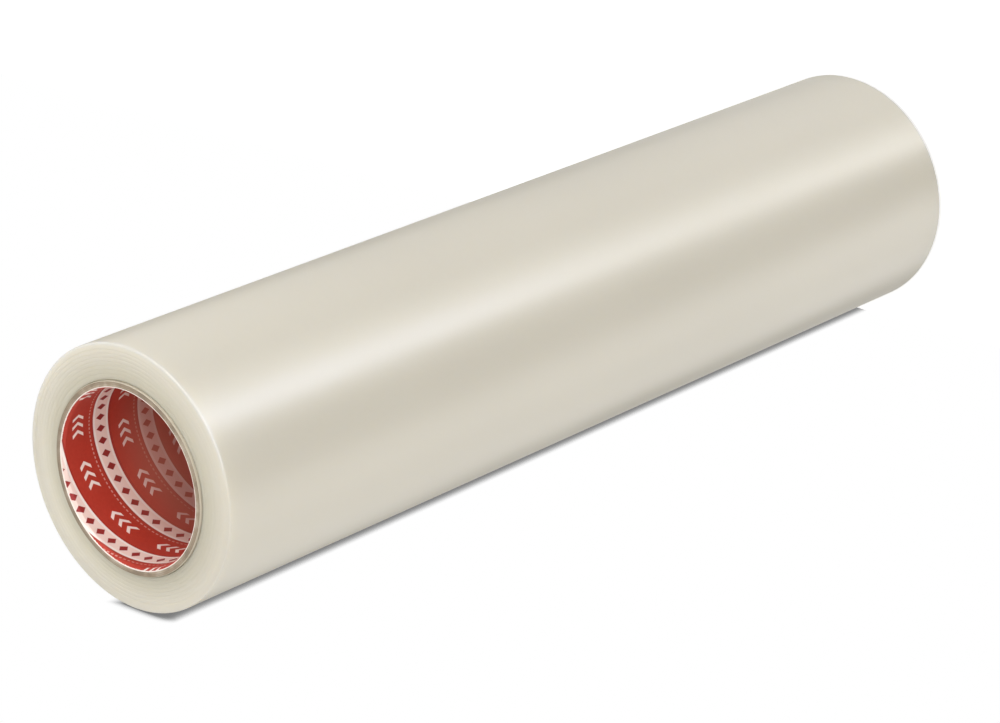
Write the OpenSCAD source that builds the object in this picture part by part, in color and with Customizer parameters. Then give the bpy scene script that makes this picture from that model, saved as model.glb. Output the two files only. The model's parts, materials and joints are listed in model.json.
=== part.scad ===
// Roll of protective film: a web of thin translucent film wound on a cardboard tube with a printed
// paper lining. The roll stands on one end of its tube. +Z is the roll's axis, and z = 0 is the
// lower end of the tube.

/* [Film] */
// Width of the film web, along the axis of the roll
film_width = 500; // [100:1:1250]
// Outer diameter of the wound roll, over the loose end of the film
roll_diameter = 116; // [106:1:200]
// Thickness of one layer of film, the step at the loose end
film_thickness = 0.1; // [0.05:0.05:0.3]
// Rounding of the two outer edges of the roll
edge_radius = 0.8; // [0.2:0.1:3]
// Angle round the axis at which the film ends
tail_angle = 30; // [0:5:355]

/* [Turns on the end faces] */
// Radial distance from one visible turn to the next
turn_pitch = 1.7; // [0.8:0.1:4]
// Width of the valley between two visible turns
valley_width = 0.7; // [0.2:0.1:0.7]
// Depth of the valley between two visible turns
valley_depth = 0.12; // [0.05:0.01:0.3]
// How far the innermost turns sink in beside the tube
inner_sink = 0.7; // [0.1:0.1:1]
// Flat film from the sunk turns to the first valley
inner_land = 0.6; // [0.4:0.1:3]
// Flat film from the last valley to the rounded outer edge
outer_land = 0.6; // [0.4:0.1:3]

/* [Tube] */
// Bore of the lined tube, a three-inch winding core with a little room for its holder
bore_diameter = 77; // [70:0.1:80]
// Wall of the cardboard tube without its lining
tube_wall = 3.1; // [2.5:0.1:6]
// How far the tube stands proud of the film at each end
tube_overhang = 1; // [0.5:0.1:10]
// Bevel on the outer cut edges of the tube
tube_bevel = 0.2; // [0.1:0.1:0.8]
// How much wider each mouth of the bore is, where the cones of the winding machine held it
mouth_flare = 0.8; // [0.2:0.1:1.2]
// Length of the widened part of each mouth
flare_length = 2; // [1:0.5:10]

/* [Lining] */
// Thickness of the printed paper ply inside the tube
lining_thickness = 0.3; // [0.2:0.05:0.8]

/* [Hidden] */

$fn = 96;
half_turn = 180;
roll_r = roll_diameter / 2;
bore_r = bore_diameter / 2;
lining_r = bore_r + lining_thickness;
tube_r = lining_r + tube_wall;
tube_length = film_width + 2 * tube_overhang;
film_bottom = tube_overhang;
film_top = film_bottom + film_width;

// A spiral drawn from half circles has two centres, half a pitch apart. The valleys start at
// first_valley_r and grow by turn_pitch with each full turn.
first_valley_r = tube_r + inner_sink + inner_land + valley_width / 2;
valley_span = roll_r - film_thickness - edge_radius - outer_land - valley_width / 2 - first_valley_r;
turn_count = max(1, floor(valley_span / turn_pitch));

// Overshoot of cutting tools past the surface that they cut
cut = 1;

// Half section of the winding out to the radius outer_r, with its two outer corners rounded
module web_section(outer_r) {
    inner_r = tube_r - cut;
    translate([inner_r, film_bottom])
        square([outer_r - edge_radius - inner_r, film_width]);
    translate([inner_r, film_bottom + edge_radius])
        square([outer_r - inner_r, film_width - 2 * edge_radius]);
    for (z = [film_bottom + edge_radius, film_top - edge_radius])
        translate([outer_r - edge_radius, z])
            circle(r = edge_radius);
}

// Two half rolls whose radii differ by half a film thickness, so that the outline is a true spiral
// turn that ends in a step one film thickness high.
module web_body() {
    rotate_extrude(angle = half_turn)
        web_section(roll_r - film_thickness);
    translate([film_thickness / 2, 0, 0])
        rotate([0, 0, half_turn])
            rotate_extrude(angle = half_turn)
                web_section(roll_r - film_thickness / 2);
}

// The room that the tube takes, widened at both ends where the innermost turns sink in
module tube_room() {
    rotate_extrude()
        polygon([
            [0, film_bottom - cut],
            [tube_r + inner_sink + cut, film_bottom - cut],
            [tube_r, film_bottom + inner_sink],
            [tube_r, film_top - inner_sink],
            [tube_r + inner_sink + cut, film_top + cut],
            [0, film_top + cut]
        ]);
}

// Half section of every valley on one side of the roll, first at radius start_r
module valley_section(start_r) {
    for (turn = [0 : turn_count - 1])
        translate([start_r + turn * turn_pitch, 0])
            polygon([
                [-valley_width / 2, 0],
                [0, -valley_depth],
                [valley_width / 2, 0],
                [valley_width / 2, cut],
                [-valley_width / 2, cut]
            ]);
}

// One continuous spiral valley, which cuts the end face at z = 0 from above
module spiral_valley() {
    rotate_extrude(angle = half_turn)
        valley_section(first_valley_r);
    translate([turn_pitch / 2, 0, 0])
        rotate([0, 0, half_turn])
            rotate_extrude(angle = half_turn)
                valley_section(first_valley_r + turn_pitch / 2);
}

module film_winding() {
    color([0.88, 0.86, 0.80])
        rotate([0, 0, tail_angle])
            difference() {
                web_body();
                tube_room();
                translate([0, 0, film_top])
                    spiral_valley();
                translate([0, 0, film_bottom])
                    mirror([0, 0, 1])
                        spiral_valley();
            }
}

// Half outline of a surface of radius r that widens at both mouths, from the lower end up
function flared(r) = [
    [r + mouth_flare, 0],
    [r, flare_length],
    [r, tube_length - flare_length],
    [r + mouth_flare, tube_length]
];

function backwards(points) = [for (k = [len(points) - 1 : -1 : 0]) points[k]];

module core_tube() {
    outside = [
        [tube_r - tube_bevel, 0],
        [tube_r, tube_bevel],
        [tube_r, tube_length - tube_bevel],
        [tube_r - tube_bevel, tube_length]
    ];
    color([0.66, 0.60, 0.51])
        rotate_extrude()
            polygon(concat(outside, backwards(flared(lining_r))));
}

module core_liner() {
    color([0.70, 0.20, 0.16])
        rotate_extrude()
            polygon(concat(flared(lining_r), backwards(flared(bore_r))));
}

film_winding();
core_tube();
core_liner();
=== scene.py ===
# Roll of protective film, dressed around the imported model: a web of translucent film wound on a
# cardboard tube, whose bore is lined with printed paper. Everything is in metres, in the row frame.
import json
import math

import bmesh
import bpy
from mathutils import Matrix, Vector


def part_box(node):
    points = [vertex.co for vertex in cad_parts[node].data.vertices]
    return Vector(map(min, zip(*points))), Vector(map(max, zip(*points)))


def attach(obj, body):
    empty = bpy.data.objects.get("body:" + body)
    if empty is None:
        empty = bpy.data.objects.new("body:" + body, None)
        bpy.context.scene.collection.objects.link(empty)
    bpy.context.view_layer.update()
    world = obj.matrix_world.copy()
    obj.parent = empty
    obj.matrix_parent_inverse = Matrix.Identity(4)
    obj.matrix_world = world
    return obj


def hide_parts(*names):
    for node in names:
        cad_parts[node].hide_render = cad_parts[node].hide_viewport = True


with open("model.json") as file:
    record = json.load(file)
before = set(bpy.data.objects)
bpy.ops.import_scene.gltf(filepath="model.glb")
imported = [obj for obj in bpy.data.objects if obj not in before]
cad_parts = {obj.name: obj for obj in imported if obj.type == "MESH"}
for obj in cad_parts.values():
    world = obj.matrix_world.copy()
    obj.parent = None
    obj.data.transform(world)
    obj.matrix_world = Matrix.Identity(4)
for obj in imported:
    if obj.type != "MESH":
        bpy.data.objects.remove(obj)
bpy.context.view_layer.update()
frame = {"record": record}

MM = 0.001

# Lining: how much wider each mouth of the bore is, and over what length
MOUTH_FLARE = 0.8 * MM
FLARE_LENGTH = 2.0 * MM

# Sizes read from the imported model
FILM_LOW, FILM_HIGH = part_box("film_winding")
FILM_BOTTOM = FILM_LOW.z
FILM_TOP = FILM_HIGH.z
ROLL_R = max(FILM_HIGH.x, -FILM_LOW.x, FILM_HIGH.y, -FILM_LOW.y)
BORE_R = frame["record"]["mounts"][0]["dims"]["r_mm"] * MM
LINING_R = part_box("core_liner")[1].x - MOUTH_FLARE
TUBE_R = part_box("core_tube")[1].x
TUBE_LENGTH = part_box("core_tube")[1].z

# Film surface: the step and angle of its loose end, the rounding of its rim, the sink of its innermost
# turns, and the spiral valley on each end face, whose two ends fade over a share of a turn
FILM_STEP = 0.1 * MM
TAIL_ANGLE = math.radians(30)
EDGE_R = 0.8 * MM
INNER_SINK = 0.7 * MM
TURN_PITCH = 1.7 * MM
VALLEY_WIDTH = 0.7 * MM
VALLEY_DEPTH = 0.12 * MM
VALLEY_FADE = 0.1
INNER_LAND = 0.6 * MM
OUTER_LAND = 0.6 * MM
FIRST_VALLEY = TUBE_R + INNER_SINK + INNER_LAND + VALLEY_WIDTH / 2
FACE_EDGE = ROLL_R - FILM_STEP - EDGE_R
VALLEY_TURNS = math.floor((FACE_EDGE - OUTER_LAND - VALLEY_WIDTH / 2 - FIRST_VALLEY) / TURN_PITCH)

# Cut edge of the tube
TUBE_BEVEL = 0.2 * MM

# Fineness of the meshes: columns round the axis, steps of a rounding and of a valley's pitch, and the
# angle from which the meeting of two faces is sharp
FILM_COLUMNS = 256
CORE_COLUMNS = 192
SINK_STEPS = 5
EDGE_STEPS = 6
PITCH_STEPS = 8
FILM_SHARP = math.radians(50)
CORE_SHARP = math.radians(15)

# Sizes under which points are welded, edges are dissolved, faces are left out, and the film's loose
# end has no step
WELD = 0.002 * MM
SHORTEST_EDGE = 0.001 * MM
SMALLEST_FACE = 0.003 * MM
SMALLEST_STEP = 0.01 * MM

# Sides of the roll, in degrees round the axis: where a highlight is painted on the rim (with painted shade
# # on its far side), where shade is painted on the film's face by the tube and by the rim, and where shade
# is
# # painted on the board. Then, in millimetres, how far from the tube the film grows paler, and the depths in
# # the bore between which painted shade and glow grow over its print
RIM_PAINTED_LIGHT_SIDE = 285
INNER_PAINTED_SHADE_SIDE = 65
OUTER_PAINTED_SHADE_SIDE = 35
CARD_PAINTED_SHADE_SIDE = 20
MILK_DEPTH = 15.0
DEPTH_SHADE_START = 22.0
DEPTH_SHADE_FULL = 52.0

# Colours of the film. The last four are painted light and shade: a highlight on one side of the rim, shade
# # on its other side, shade by the tube, and shade on one side of the face
FILM_BY_TUBE = (0.565, 0.520, 0.395)
FILM_OUTSIDE = (0.745, 0.700, 0.595)
FILM_DARK_TURNS = (0.52, 0.49, 0.40)
FILM_THICK_BANDS = (0.66, 0.62, 0.53)
FILM_PAINTED_RIM_HIGHLIGHT = (0.70, 0.68, 0.64)
FILM_PAINTED_RIM_SHADE = (0.60, 0.56, 0.49)
FILM_PAINTED_SHADE_BY_TUBE = (0.36, 0.33, 0.25)
FILM_PAINTED_SHADE = (0.36, 0.34, 0.28)

# Colours of the board. The dark blotch colour also paints shade on one side of the tube
CARD_DARK_FIBRE = (0.30, 0.235, 0.165)
CARD_PALE_FIBRE = (0.48, 0.385, 0.285)
CARD_PALE_BLOTCH = (0.58, 0.50, 0.40)
CARD_DARK_BLOTCH_AND_SHADE = (0.21, 0.165, 0.12)
CARD_OUTER_PLIES = (0.24, 0.19, 0.13)
CARD_OUTER_WALL = (0.62, 0.56, 0.45)
CARD_PLY_LINES = (0.24, 0.18, 0.125)

# Colours of the print and of its paper. The inside colour is painted shade and glow deep in the bore
PRINT_DARK_RED = (0.42, 0.038, 0.022)
PRINT_BRIGHT_RED = (0.54, 0.058, 0.034)
PRINT_BAND_SHADOW = (0.24, 0.012, 0.010)
PRINT_DOTS = (0.85, 0.66, 0.58)
PRINT_CHEVRONS = (0.95, 0.84, 0.77)
PRINT_BAND = (0.98, 0.90, 0.83)
PRINT_BAND_FIELD = (0.93, 0.74, 0.66)
PRINT_DIAMONDS = (0.30, 0.025, 0.022)
PRINT_SEAM = (0.12, 0.02, 0.02)
PRINT_PAINTED_DEPTH_SHADE = (0.50, 0.17, 0.12)
PRINT_CUT_EDGE = (0.95, 0.86, 0.78)

# Print, in millimetres: pale bands run round the bore as a spiral, two to a turn. Diamonds lie on the
# bands, a line of dots beside each, and groups of chevrons between them
BAND_PERIOD = 25.8
BANDS_PER_TURN = 2
BAND_START = 49.0
BAND_HALF = 4.2
BAND_FIELD_HALF = 3.0
BAND_SHADOW_HALF = 4.9
DIAMONDS_PER_TURN = 40
DIAMOND_HALF_LENGTH = 1.9
DIAMOND_HALF_WIDTH = 2.5
GROUPS_PER_TURN = 10
CHEVRONS_PER_GROUP = 3
CHEVRON_STEP = 4.4
CHEVRON_REACH = 1.2
CHEVRON_SLOPE = 0.8
CHEVRON_ARM_HALF = 0.85
CHEVRON_HALF_WIDTH = 2.9
DOTS_PER_TURN = 120
DOTS_FROM_BAND = 6.3
DOT_HALF_LENGTH = 0.55
DOT_HALF_WIDTH = 0.3
SEAM_FROM_BAND = 1.0
SEAM_HALF = 0.10

# Camera: direction of view, roll about it, and place from the middle of the upper film face
VIEW_AZIMUTH = math.radians(59.500)
VIEW_DIP = math.radians(45.203)
VIEW_ROLL = math.radians(-112.684)
CAMERA_OFFSET = Vector((-1.01646, -0.58230, 0.95509))
LENS = 132.62
SENSOR_WIDTH = 36
NEAR_CLIP = 0.05
FAR_CLIP = 50

# Floor and backdrop card. The card stands just clear of the roll and just above the floor, and a painted
# # shadow darkens it within the contact reach
FLOOR_HALF = 6.0
FLOOR_WHITE = (0.85, 0.85, 0.85, 1)
FLOOR_LIFT = 0.45
BACKDROP_HALF_WIDTH = 2.5
BACKDROP_BOTTOM = 10 * MM
BACKDROP_TOP = 2.0
BACKDROP_GAP = 0.1 * MM
CONTACT_REACH = 5.0 * MM

# Studio as the gloss sees it. A stripe has an azimuth, a half width and a softness in degrees, then its
# change of brightness at its steep lower end and above that. The top is a bright patch over the
# horizon, the low change brightens the steepest views, and the highlight's upper part has a cool tint
GLOSS_LEVEL = 1.1
GLOSS_HIGHLIGHT = (228.5, 8.5, 6.0, 3.5, 8.2)
GLOSS_STRIPES = (
    (246.0, 9.0, 6.0, 1.1, 2.6),
    (188.0, 19.0, 8.0, -0.9, -1.1),
    (146.0, 14.0, 12.0, 0.7, 0.7),
    (70.0, 14.0, 8.0, -0.45, 0.2),
    (32.0, 46.0, 20.0, -0.75, -1.05),
    (332.0, 24.0, 14.0, -0.4, -0.3),
)
GLOSS_TOP = (245.0, 48.0, 12.0)
GLOSS_TOP_CHANGE = 4.2
GLOSS_LOW_CHANGE = 0.22
COOL_WHITE = (0.93, 1.0, 1.2)
WHITE = (1.0, 1.0, 1.0)
BLACK = (0.0, 0.0, 0.0)


class Graph:
    """Adds and wires the nodes of one node tree."""

    def __init__(self, tree):
        self.tree = tree
        self.tree.nodes.clear()

    def add(self, kind, **settings):
        made = self.tree.nodes.new(kind)
        for name, value in settings.items():
            setattr(made, name, value)
        return made

    def feed(self, socket, value):
        if isinstance(value, bpy.types.NodeSocket):
            self.tree.links.new(value, socket)
        else:
            socket.default_value = value

    def math(self, operation, *values):
        made = self.add("ShaderNodeMath", operation=operation)
        for socket, value in zip(made.inputs, values):
            self.feed(socket, value)
        return made.outputs[0]

    def total(self, *values):
        """The sum of the values."""
        result = values[0]
        for value in values[1:]:
            result = self.math("ADD", result, value)
        return result

    def both(self, *values):
        """The product of the values, which is a mask where all of them are masks."""
        result = values[0]
        for value in values[1:]:
            result = self.math("MULTIPLY", result, value)
        return result

    def smooth(self, value, low, high, to_low, to_high):
        """A soft step from to_low to to_high as value goes from low to high."""
        made = self.add("ShaderNodeMapRange", interpolation_type="SMOOTHSTEP")
        for socket, number in zip(made.inputs, (value, low, high, to_low, to_high)):
            self.feed(socket, number)
        return made.outputs[0]

    def rise(self, value, low, high, top=1.0):
        """A soft step up from 0."""
        return self.smooth(value, low, high, 0.0, top)

    def fall(self, value, low, high, top=1.0):
        """A soft step down to 0."""
        return self.smooth(value, low, high, top, 0.0)

    def within(self, value, half, soft):
        """1 where the size of value is under half, fading to 0 over soft on each side."""
        return self.fall(self.math("ABSOLUTE", value), half - soft, half + soft)

    def repeat(self, value, start, period):
        """The number of the nearest copy, and the signed distance from its middle."""
        count = self.math("DIVIDE", self.math("SUBTRACT", value, start), period)
        nearest = self.math("ROUND", count)
        return nearest, self.both(self.math("SUBTRACT", count, nearest), period)

    def facing(self, angle, degrees):
        """1 on the side at that many degrees round the axis, falling to -1 on the far side."""
        return self.math("COSINE", self.math("SUBTRACT", angle, math.radians(degrees)))

    def nearer_end(self, height, low, high):
        """Distance from the nearer of two ends."""
        return self.math("MINIMUM", self.math("SUBTRACT", height, low), self.math("SUBTRACT", high, height))

    def mix(self, factor, first, second):
        """First where the factor is 0, second where it is 1, through the node's colour sockets."""
        made = self.add("ShaderNodeMix", data_type="RGBA")
        self.feed(made.inputs[0], factor)
        for socket, value in zip(made.inputs[6:8], (first, second)):
            self.feed(socket, (*value, 1.0) if isinstance(value, tuple) else value)
        return made.outputs[2]

    def cover(self, colour, *layers):
        """Lays (mask, tint) layers over a colour, one on top of the other."""
        for mask, tint in layers:
            colour = self.mix(mask, colour, tint)
        return colour

    def noise(self, place, scale, detail=3.0, roughness=0.5):
        """Noise at a place, or along a line where place is a single number."""
        along_line = place.type == "VALUE"
        made = self.add("ShaderNodeTexNoise", noise_dimensions="1D" if along_line else "3D")
        self.feed(made.inputs["W" if along_line else "Vector"], place)
        made.inputs["Scale"].default_value = scale
        made.inputs["Detail"].default_value = detail
        made.inputs["Roughness"].default_value = roughness
        return made.outputs["Fac"]

    def bump(self, height, strength, distance):
        made = self.add("ShaderNodeBump")
        self.feed(made.inputs["Height"], height)
        made.inputs["Strength"].default_value = strength
        made.inputs["Distance"].default_value = distance
        return made.outputs["Normal"]


def new_material(name):
    """A material with one Principled surface, and the graph that feeds it."""
    material = bpy.data.materials.new(name)
    material.use_nodes = True
    graph = Graph(material.node_tree)
    surface = graph.add("ShaderNodeBsdfPrincipled")
    output = graph.add("ShaderNodeOutputMaterial")
    graph.feed(output.inputs["Surface"], surface.outputs[0])
    return material, graph, surface


def cylinder_coordinates(graph):
    """Radius, angle and height round the roll's axis, and the place itself, in millimetres and radians."""
    scaled = graph.add("ShaderNodeVectorMath", operation="SCALE")
    graph.feed(scaled.inputs[0], graph.add("ShaderNodeTexCoord").outputs["Object"])
    scaled.inputs["Scale"].default_value = 1 / MM
    split = graph.add("ShaderNodeSeparateXYZ")
    graph.feed(split.inputs[0], scaled.outputs[0])
    x, y, height = split.outputs
    radius = graph.math("SQRT", graph.total(graph.both(x, x), graph.both(y, y)))
    return radius, graph.math("ARCTAN2", y, x), height, scaled.outputs[0]


def film_material():
    """Many layers of clear film: milky, with fine turns on the end faces. Shade is painted darker by the
    tube and on one side of the face, and the rim has a painted highlight on one side and painted shade on
    the other."""
    material, graph, surface = new_material("film")
    radius, angle, height, place = cylinder_coordinates(graph)
    tube = TUBE_R / MM
    roll = ROLL_R / MM
    from_end = graph.nearer_end(height, FILM_BOTTOM / MM, FILM_TOP / MM)

    fine = graph.noise(radius, 4.0, detail=4.0, roughness=0.7)
    broad = graph.noise(radius, 0.35, detail=2.0)
    turns = graph.total(graph.both(fine, 0.6), graph.both(broad, 0.4))
    gauge = graph.noise(height, 0.008, detail=0.0)

    # Painted highlight on one side of the rim
    rim_side = graph.facing(angle, RIM_PAINTED_LIGHT_SIDE)
    painted_rim_highlight = graph.both(graph.rise(rim_side, -0.1, 0.3),
                            graph.rise(radius, roll - 1.8, roll - 0.6),
                            graph.fall(from_end, 0.5, 2.5, top=0.6))
    # Painted shade on the rim's side away from the light
    painted_rim_shade = graph.both(graph.fall(rim_side, -0.5, 0.0),
                          graph.rise(radius, roll - 3.5, roll - 1.0),
                          graph.fall(from_end, 0.5, 1.1, top=0.4))
    # Painted shade on one side of the face, by the tube and by the rim
    inner_painted_shade = graph.both(graph.rise(graph.facing(angle, INNER_PAINTED_SHADE_SIDE), -0.6, 0.9),
                             graph.fall(radius, tube, tube + 7.0, top=0.26))
    outer_painted_shade = graph.both(graph.rise(graph.facing(angle, OUTER_PAINTED_SHADE_SIDE), 0.2, 1.0),
                             graph.rise(radius, roll - 9.0, roll - 2.0, top=0.30))
    on_face = graph.fall(from_end, 0.6, 1.2)

    milk = graph.mix(graph.rise(radius, tube, tube + MILK_DEPTH), FILM_BY_TUBE, FILM_OUTSIDE)
    colour = graph.cover(milk,
                         (graph.rise(turns, 0.35, 0.75, top=0.22), FILM_DARK_TURNS),
                         (graph.rise(gauge, 0.3, 0.7, top=0.12), FILM_THICK_BANDS),
                         (painted_rim_highlight, FILM_PAINTED_RIM_HIGHLIGHT),
                         (painted_rim_shade, FILM_PAINTED_RIM_SHADE),
                         # painted shade in the recess by the tube, then painted shade on one side of the
                         # face
                         (graph.fall(radius, tube + 0.2, tube + 1.6, top=0.4), FILM_PAINTED_SHADE_BY_TUBE),
                         (graph.both(graph.total(inner_painted_shade, outer_painted_shade), on_face), FILM_PAINTED_SHADE))
    graph.feed(surface.inputs["Base Color"], colour)
    haze = graph.noise(place, 0.012, detail=1.0)
    graph.feed(surface.inputs["Roughness"], graph.smooth(haze, 0.3, 0.7, 0.285, 0.315))
    surface.inputs["IOR"].default_value = 1.50
    surface.inputs["Subsurface Weight"].default_value = 0.6
    surface.inputs["Subsurface Radius"].default_value = (1.0, 0.9, 0.7)
    surface.inputs["Subsurface Scale"].default_value = 8 * MM
    graph.feed(surface.inputs["Normal"], graph.bump(fine, 0.15, 0.05 * MM))
    return material


def card_material():
    """Grey-brown board: fibres and blotches, ply lines on its cut edge, painted shade on one side, and a
    pale outer wall."""
    material, graph, surface = new_material("core_card")
    radius, angle, _, place = cylinder_coordinates(graph)
    tube = TUBE_R / MM
    fibre = graph.noise(place, 2.5, detail=5.0, roughness=0.65)
    blotch = graph.noise(place, 0.15, detail=2.0)
    plies = graph.noise(radius, 2.2, detail=1.0)
    wall = graph.rise(radius, tube - 0.25, tube - 0.05)
    ply_lines = graph.both(graph.rise(plies, 0.45, 0.65, top=0.45), graph.math("SUBTRACT", 1.0, wall))
    painted_shade_side = graph.facing(angle, CARD_PAINTED_SHADE_SIDE)

    board = graph.mix(fibre, CARD_DARK_FIBRE, CARD_PALE_FIBRE)
    colour = graph.cover(board,
                         (graph.rise(blotch, 0.50, 0.65, top=0.6), CARD_PALE_BLOTCH),
                         (graph.fall(blotch, 0.35, 0.48, top=0.6), CARD_DARK_BLOTCH_AND_SHADE),
                         (graph.rise(radius, tube - 1.6, tube - 0.6, top=0.35), CARD_OUTER_PLIES),
                         # painted shade on one side of the tube
                         (graph.rise(painted_shade_side, 0.4, 0.95, top=0.5), CARD_DARK_BLOTCH_AND_SHADE),
                         (wall, CARD_OUTER_WALL),
                         (ply_lines, CARD_PLY_LINES))
    graph.feed(surface.inputs["Base Color"], colour)
    surface.inputs["Roughness"].default_value = 0.9
    surface.inputs["Specular IOR Level"].default_value = 0.25
    graph.feed(surface.inputs["Normal"], graph.bump(fibre, 0.5, 0.2 * MM))
    return material


def print_masks(graph, angle, depth):
    """Where each part of the print lies, as masks that are 1 inside it and 0 outside."""
    around = 2 * math.pi * BORE_R / MM
    lead = BAND_PERIOD * BANDS_PER_TURN
    slant = math.cos(math.atan(lead / around))
    turned = graph.math("SUBTRACT", math.pi, angle)
    along = graph.both(turned, BORE_R / MM)
    climb = graph.total(depth, graph.both(turned, lead / (2 * math.pi)))

    band_across = graph.both(graph.repeat(climb, BAND_START, BAND_PERIOD)[1], slant)
    field = graph.within(band_across, BAND_FIELD_HALF, 0.15)
    diamond_along = graph.repeat(along, 0.0, around / DIAMONDS_PER_TURN)[1]
    diamond = graph.total(graph.both(graph.math("ABSOLUTE", diamond_along), 1 / DIAMOND_HALF_LENGTH),
                          graph.both(graph.math("ABSOLUTE", band_across), 1 / DIAMOND_HALF_WIDTH))

    row, row_offset = graph.repeat(climb, BAND_START + BAND_PERIOD / 2, BAND_PERIOD)
    row_across = graph.both(row_offset, slant)
    group_step = around / GROUPS_PER_TURN
    staggered = graph.total(along, graph.both(row, group_step / 2))
    group_along = graph.repeat(staggered, 0.0, group_step)[1]
    chevron_along = graph.repeat(group_along, 0.0, CHEVRON_STEP)[1]
    bend = graph.both(graph.math("ABSOLUTE", row_across), CHEVRON_SLOPE)
    arm_across = graph.math("SUBTRACT", chevron_along, graph.math("SUBTRACT", CHEVRON_REACH, bend))

    dot_along = graph.repeat(along, 0.0, around / DOTS_PER_TURN)[1]
    seam_start = BAND_START + BAND_HALF / slant + SEAM_FROM_BAND
    return {
        "band": graph.within(band_across, BAND_HALF, 0.12),
        "field": field,
        "shadow": graph.within(band_across, BAND_SHADOW_HALF, 0.25),
        "diamonds": graph.both(graph.fall(diamond, 0.9, 1.05), field),
        "chevrons": graph.both(
            graph.within(arm_across, CHEVRON_ARM_HALF, 0.12),
            graph.within(row_across, CHEVRON_HALF_WIDTH, 0.12),
            graph.within(group_along, CHEVRONS_PER_GROUP * CHEVRON_STEP / 2, 0.05)),
        "dots": graph.both(
            graph.within(dot_along, DOT_HALF_LENGTH, 0.15),
            graph.within(graph.total(band_across, DOTS_FROM_BAND), DOT_HALF_WIDTH, 0.12)),
        "seam": graph.within(graph.repeat(climb, seam_start, lead)[1], SEAM_HALF, 0.08),
    }


def print_material():
    """Red paper with pale spiral bands, chevrons and dots, painted shade and glow deeper in the bore, and a
    bare pale cut edge.
    """
    material, graph, surface = new_material("printed_paper")
    _, angle, height, place = cylinder_coordinates(graph)
    masks = print_masks(graph, angle, graph.math("SUBTRACT", TUBE_LENGTH / MM, height))
    from_end = graph.nearer_end(height, 0.0, TUBE_LENGTH / MM)
    fray = graph.noise(place, 1.4, detail=3.0)
    frayed = graph.math("SUBTRACT", from_end, graph.both(fray, 0.5))

    wear = graph.noise(place, 0.6, detail=5.0, roughness=0.6)
    red = graph.mix(wear, PRINT_DARK_RED, PRINT_BRIGHT_RED)
    colour = graph.cover(red,
                         (graph.both(masks["shadow"], 0.45), PRINT_BAND_SHADOW),
                         (graph.both(masks["dots"], 0.5), PRINT_DOTS),
                         (masks["chevrons"], PRINT_CHEVRONS),
                         (masks["band"], PRINT_BAND),
                         (masks["field"], PRINT_BAND_FIELD),
                         (masks["diamonds"], PRINT_DIAMONDS),
                         (graph.both(masks["seam"], 0.7), PRINT_SEAM),
                         # painted shade on the pale print and a painted hazy glow on the red, deep in the
                         # bore
                         (graph.rise(from_end, DEPTH_SHADE_START, DEPTH_SHADE_FULL, top=0.7), PRINT_PAINTED_DEPTH_SHADE),
                         (graph.fall(frayed, 0.0, 0.15), PRINT_CUT_EDGE))
    graph.feed(surface.inputs["Base Color"], colour)
    surface.inputs["Roughness"].default_value = 0.5
    surface.inputs["Specular IOR Level"].default_value = 0.4
    paper = graph.noise(place, 1.5, detail=4.0, roughness=0.6)
    relief = graph.math("SUBTRACT", graph.both(paper, 0.3), masks["seam"])
    graph.feed(surface.inputs["Normal"], graph.bump(relief, 0.4, 0.1 * MM))
    return material


def add_object(name, data):
    made = bpy.data.objects.new(name, data)
    bpy.context.scene.collection.objects.link(made)
    return made


def smooth_mesh(shape, name, sharp_angle):
    """Turns a bmesh into a mesh with smooth faces, sharp where they meet at more than sharp_angle."""
    bmesh.ops.remove_doubles(shape, verts=shape.verts, dist=WELD)
    bmesh.ops.dissolve_degenerate(shape, edges=shape.edges, dist=SHORTEST_EDGE)
    bmesh.ops.recalc_face_normals(shape, faces=shape.faces)
    mesh = bpy.data.meshes.new(name)
    shape.to_mesh(mesh)
    shape.free()
    mesh.shade_smooth()
    mesh.set_sharp_from_angle(angle=sharp_angle)
    return mesh


def piece_of(name, shape, sharp_angle, material):
    """An object made from a bmesh and one material."""
    mesh = smooth_mesh(shape, name, sharp_angle)
    mesh.materials.append(material)
    return add_object(name, mesh)


def bridge(shape, first, second):
    """Faces between two rows of vertices, apart from those where the rows meet."""
    for corners in zip(first, second, second[1:] + second[:1], first[1:] + first[:1]):
        places = [v.co for v in corners]
        diagonals = (places[0] - places[2]).cross(places[1] - places[3])
        if diagonals.length > SMALLEST_FACE ** 2:
            shape.faces.new(corners)


def sweep(profile_at, columns):
    """Skin round the axis through the outlines profile_at(share of a turn) of (radius, height) points,
    from the loose end's angle once round, with its last and first row of vertices."""
    shape = bmesh.new()
    rings = []
    for column in range(columns + 1):
        share = column / columns
        angle = TAIL_ANGLE + 2 * math.pi * share
        direction = Vector((math.cos(angle), math.sin(angle), 0))
        rings.append([shape.verts.new(direction * r + Vector((0, 0, z))) for r, z in profile_at(share)])
    for first, second in zip(rings, rings[1:]):
        bridge(shape, first, second)
    return shape, rings[-1], rings[0]


def soft_step(value):
    """0 up to 0, 1 from 1 on, and a smooth rise between."""
    value = min(max(value, 0.0), 1.0)
    return value * value * (3 - 2 * value)


def valley(coordinate, share):
    """Depth of the spiral valley at a share of a turn, at a place in pitches from the first valley there."""
    number = round(coordinate)
    offset = abs(coordinate - number) * TURN_PITCH / (VALLEY_WIDTH / 2)
    run_in = soft_step((number + share) / VALLEY_FADE)
    run_out = soft_step((VALLEY_TURNS - number - share) / VALLEY_FADE)
    return VALLEY_DEPTH * run_in * run_out * (0.5 + 0.5 * math.cos(math.pi * min(offset, 1.0)))


def quarter(steps):
    """Angles from 0 to a right angle, in equal steps."""
    return [math.pi / 2 * k / steps for k in range(steps + 1)]


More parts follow.
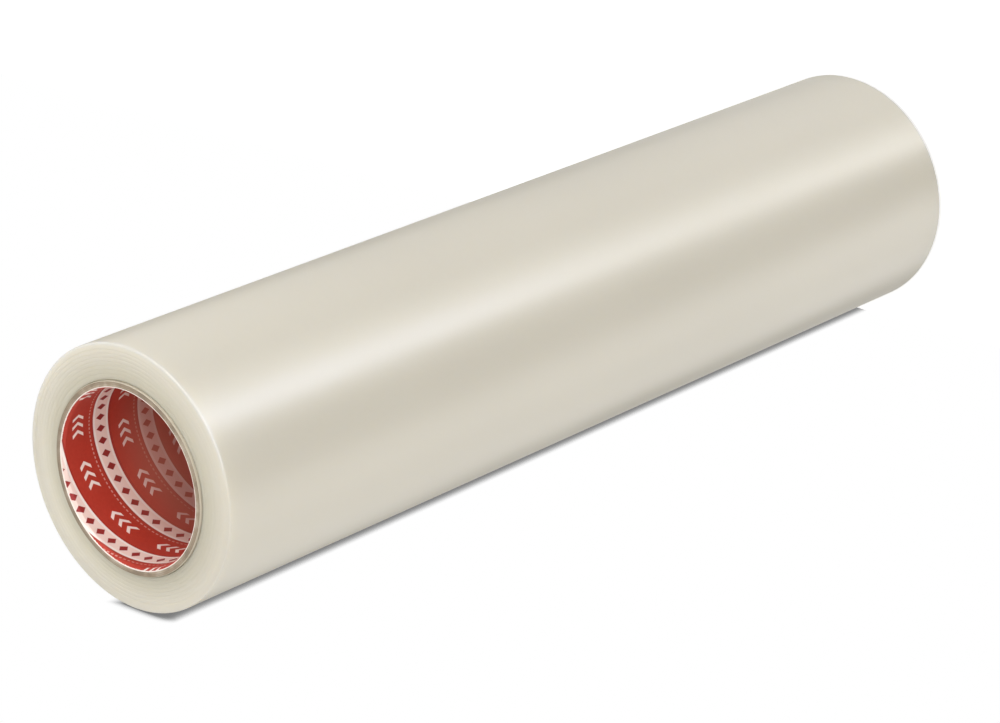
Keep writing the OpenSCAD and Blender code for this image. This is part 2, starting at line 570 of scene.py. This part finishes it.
def half_face(share):
    """The upper end of the winding from the tube outwards: (radius, drop below the end's plane) points
    of its face, and then of its rounded rim."""
    sink = [
        (TUBE_R + INNER_SINK * (1 - math.cos(a)), INNER_SINK * (1 - math.sin(a)))
        for a in quarter(SINK_STEPS)
    ]
    flat = []
    for step in range(-2 * PITCH_STEPS, (VALLEY_TURNS + 3) * PITCH_STEPS):
        coordinate = step / PITCH_STEPS
        radius = FIRST_VALLEY + TURN_PITCH * (coordinate + share)
        flat.append((min(max(radius, TUBE_R + INNER_SINK), FACE_EDGE), valley(coordinate, share)))
    outer = ROLL_R - FILM_STEP * (1 - share)
    rim = [
        (FACE_EDGE + (outer - FACE_EDGE) * math.sin(a), EDGE_R * (1 - math.cos(a)))
        for a in quarter(EDGE_STEPS)
    ]
    return sink + flat, rim


def film_winding():
    """The wound film: its end faces, rims, outside and inner wall, and the step at its loose end."""
    def profile(share):
        face, rim = half_face(share)
        top = [(r, FILM_TOP - drop) for r, drop in face + rim]
        bottom = [(r, FILM_BOTTOM + drop) for r, drop in reversed(face + rim)]
        return top + bottom

    shape, last, first = sweep(profile, FILM_COLUMNS)
    face, rim = half_face(0)
    outside = slice(len(face), len(face) + 2 * len(rim))
    last, first = last[outside], first[outside]
    for corners in zip(last, first, first[1:], last[1:]):
        end, start, next_start, next_end = (v.co for v in corners)
        if (end - start).length + (next_end - next_start).length > SMALLEST_STEP:
            shape.faces.new(corners)
    return piece_of("film_roll", shape, FILM_SHARP, film_material())


def flared(radius):
    """Outline of a surface that widens at both mouths, from the lower end up."""
    return [
        (radius + MOUTH_FLARE, 0.0), (radius, FLARE_LENGTH),
        (radius, TUBE_LENGTH - FLARE_LENGTH), (radius + MOUTH_FLARE, TUBE_LENGTH),
    ]


def revolved(name, outline, material):
    """A piece with the same closed outline all the way round."""
    shape = sweep(lambda share: outline, CORE_COLUMNS)[0]
    return piece_of(name, shape, CORE_SHARP, material)


def core_tube():
    """The cardboard tube, with bevelled outer corners and flared mouths."""
    outside = [
        (TUBE_R - TUBE_BEVEL, 0.0), (TUBE_R, TUBE_BEVEL),
        (TUBE_R, TUBE_LENGTH - TUBE_BEVEL), (TUBE_R - TUBE_BEVEL, TUBE_LENGTH),
    ]
    return revolved("card_tube", outside + flared(LINING_R)[::-1], card_material())


def core_liner():
    """The printed paper that lines the tube."""
    return revolved("paper_lining", flared(LINING_R) + flared(BORE_R)[::-1], print_material())


def look_rotation(azimuth, dip, roll):
    """Rotation of a camera that looks azimuth from +Y towards +X, dip below level, rolled by roll."""
    level = Vector((math.sin(azimuth), math.cos(azimuth), 0))
    forward = level * math.cos(dip) - Vector((0, 0, math.sin(dip)))
    level_right = level.cross(Vector((0, 0, 1)))
    right = level_right * math.cos(roll) + level_right.cross(forward) * math.sin(roll)
    return Matrix((right, right.cross(forward), -forward)).transposed().to_4x4()


def make_camera():
    data = bpy.data.cameras.new("camera")
    data.lens = LENS
    data.sensor_width = SENSOR_WIDTH
    data.clip_start = NEAR_CLIP
    data.clip_end = FAR_CLIP
    camera = add_object("camera", data)
    place = Matrix.Translation(CAMERA_OFFSET + Vector((0, 0, FILM_TOP)))
    camera.matrix_world = place @ look_rotation(VIEW_AZIMUTH, VIEW_DIP, VIEW_ROLL)
    bpy.context.scene.camera = camera


def plane(name, corners, graph_maker):
    """One flat sheet of the studio, with a material of its own."""
    mesh = bpy.data.meshes.new(name)
    mesh.from_pydata(corners, [], [tuple(range(len(corners)))])
    material = bpy.data.materials.new(name)
    material.use_nodes = True
    graph = Graph(material.node_tree)
    output = graph.add("ShaderNodeOutputMaterial")
    graph.feed(output.inputs["Surface"], graph_maker(graph))
    mesh.materials.append(material)
    made = add_object(name, mesh)
    return made


def floor_shader(graph):
    """White floor that keeps the roll's shadow. Its lift is for the camera alone."""
    diffuse = graph.add("ShaderNodeBsdfDiffuse")
    diffuse.inputs["Color"].default_value = FLOOR_WHITE
    lift = graph.add("ShaderNodeEmission")
    ray = graph.add("ShaderNodeLightPath")
    graph.feed(lift.inputs["Strength"], graph.both(ray.outputs["Is Camera Ray"], FLOOR_LIFT))
    lit = graph.add("ShaderNodeAddShader")
    graph.feed(lit.inputs[0], diffuse.outputs[0])
    graph.feed(lit.inputs[1], lift.outputs[0])
    return lit.outputs[0]


def backdrop_shader(graph):
    """White card with a painted contact shadow close to the roll, and it shows on its front side alone. The
    painted shadow ends on the roll's +X side and fades past its upper end."""
    near = graph.add("ShaderNodeAmbientOcclusion", samples=16)
    near.inputs["Distance"].default_value = CONTACT_REACH
    place = graph.add("ShaderNodeSeparateXYZ")
    graph.feed(place.inputs[0], graph.add("ShaderNodeTexCoord").outputs["Object"])
    open_side = graph.rise(place.outputs[0], 3 * MM, 15 * MM)
    past_end = graph.rise(place.outputs[2], TUBE_LENGTH - 3 * MM, TUBE_LENGTH + 3 * MM, top=0.55)
    # Painted contact shadow: emission darkened by occlusion, cut off by place
    shade = graph.math("MAXIMUM", graph.smooth(near.outputs["AO"], 0.28, 0.92, 0.20, 1.0),
                       graph.math("MAXIMUM", open_side, past_end))
    white = graph.add("ShaderNodeEmission")
    graph.feed(white.inputs["Color"], graph.mix(shade, BLACK, WHITE))
    clear = graph.add("ShaderNodeBsdfTransparent")
    pick = graph.add("ShaderNodeMixShader")
    graph.feed(pick.inputs[0], graph.add("ShaderNodeNewGeometry").outputs["Backfacing"])
    graph.feed(pick.inputs[1], white.outputs[0])
    graph.feed(pick.inputs[2], clear.outputs[0])
    return pick.outputs[0]


def make_stage():
    floor = plane("floor", [(-FLOOR_HALF, -FLOOR_HALF, 0), (FLOOR_HALF, -FLOOR_HALF, 0),
                            (FLOOR_HALF, FLOOR_HALF, 0), (-FLOOR_HALF, FLOOR_HALF, 0)], floor_shader)
    floor.visible_glossy = False
    front = ROLL_R + BACKDROP_GAP
    half = BACKDROP_HALF_WIDTH
    card = plane("backdrop", [(-half, front, BACKDROP_BOTTOM), (half, front, BACKDROP_BOTTOM),
                              (half, front, BACKDROP_TOP), (-half, front, BACKDROP_TOP)], backdrop_shader)
    card.visible_diffuse = False
    card.visible_glossy = False
    card.visible_shadow = False
    card.visible_transmission = False


def make_world():
    """White for the camera and clear rays, a plain dome for light, and soft stripes for gloss."""
    world = bpy.data.worlds.new("studio")
    bpy.context.scene.world = world
    world.use_nodes = True
    world.cycles.sampling_method = "NONE"
    graph = Graph(world.node_tree)
    split = graph.add("ShaderNodeSeparateXYZ")
    graph.feed(split.inputs[0], graph.add("ShaderNodeTexCoord").outputs["Generated"])
    x, y, z = split.outputs
    azimuth = graph.math("ARCTAN2", y, x)
    low = graph.fall(z, 0.1, 0.4)
    upper_end = graph.rise(z, -0.74, -0.62)
    high = graph.both(graph.rise(z, 0.0, 0.25), graph.fall(z, 0.75, 0.95))

    def sector(middle, half, soft):
        turn = graph.math("ARCCOSINE", graph.facing(azimuth, middle))
        return graph.within(turn, math.radians(half), math.radians(soft))

    def stripe(middle, half, soft, lower, upper):
        change = graph.total(lower, graph.both(upper_end, upper - lower))
        return graph.both(sector(middle, half, soft), low, change)

    gloss = graph.total(GLOSS_LEVEL, graph.both(sector(*GLOSS_TOP), high, GLOSS_TOP_CHANGE),
                        graph.fall(z, -0.80, -0.73, top=GLOSS_LOW_CHANGE))
    for values in (GLOSS_HIGHLIGHT, *GLOSS_STRIPES):
        gloss = graph.total(gloss, stripe(*values))
    dome = graph.smooth(y, -1.0, 1.0, 0.95, 0.75)
    ray = graph.add("ShaderNodeLightPath")
    glossy = ray.outputs["Is Glossy Ray"]
    strength = graph.mix(glossy, dome, gloss)
    seen = graph.math("MAXIMUM", ray.outputs["Is Camera Ray"], ray.outputs["Is Transmission Ray"])
    background = graph.add("ShaderNodeBackground")
    cool = graph.both(glossy, sector(*GLOSS_HIGHLIGHT[:3]), upper_end)
    graph.feed(background.inputs["Color"], graph.mix(cool, WHITE, COOL_WHITE))
    graph.feed(background.inputs["Strength"], graph.mix(seen, strength, WHITE))
    output = graph.add("ShaderNodeOutputWorld")
    graph.feed(output.inputs["Surface"], background.outputs[0])


def hang_lamp(data, place, target):
    """Puts a lamp at a place, turned to a target. It doesn't show in gloss."""
    lamp = add_object(data.name, data)
    lamp.location = place
    lamp.rotation_mode = "QUATERNION"
    lamp.rotation_quaternion = (target - place).to_track_quat("-Z", "Y")
    lamp.visible_glossy = False


def area_lamp(name, target, offset, size, power):
    data = bpy.data.lights.new(name, "AREA")
    data.shape = "SQUARE"
    data.size = size
    data.energy = power
    hang_lamp(data, target + Vector(offset), target)


def bore_lamp():
    """Narrow beam into the upper mouth of the bore, onto the wall that faces the camera."""
    away = math.radians(33)
    rise = math.radians(42)
    target_depth = 22 * MM
    target = Vector((BORE_R * math.cos(away), BORE_R * math.sin(away), TUBE_LENGTH - target_depth))
    offset = Vector((-math.cos(away) * math.cos(rise), -math.sin(away) * math.cos(rise), math.sin(rise)))
    data = bpy.data.lights.new("bore", "SPOT")
    data.energy = 36.0
    data.spot_size = math.radians(4.0)
    data.spot_blend = 1.0
    data.shadow_soft_size = 0.04
    hang_lamp(data, target + offset, target)


def make_lamps():
    middle = Vector((0, 0, TUBE_LENGTH / 2))
    upper_end = Vector((0, 0, TUBE_LENGTH))
    area_lamp("key", middle, offset=(-1.1, -1.1, 1.2), size=0.9, power=1.5)
    area_lamp("upper_front", upper_end, offset=(0.12, -0.22, 0.12), size=0.12, power=0.12)
    area_lamp("upper_side", upper_end, offset=(-0.30, 0.30, 0.10), size=0.15, power=0.11)
    bore_lamp()


make_camera()
PIECES = (
    (film_winding(), "film_winding", "film"),
    (core_tube(), "core_tube", "core_card"),
    (core_liner(), "core_liner", "printed_paper"),
)
for piece, node, slot in PIECES:
    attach(piece, "root")
    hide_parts(node)
make_stage()
make_world()
make_lamps()
bpy.context.scene.view_settings.view_transform = "Standard"
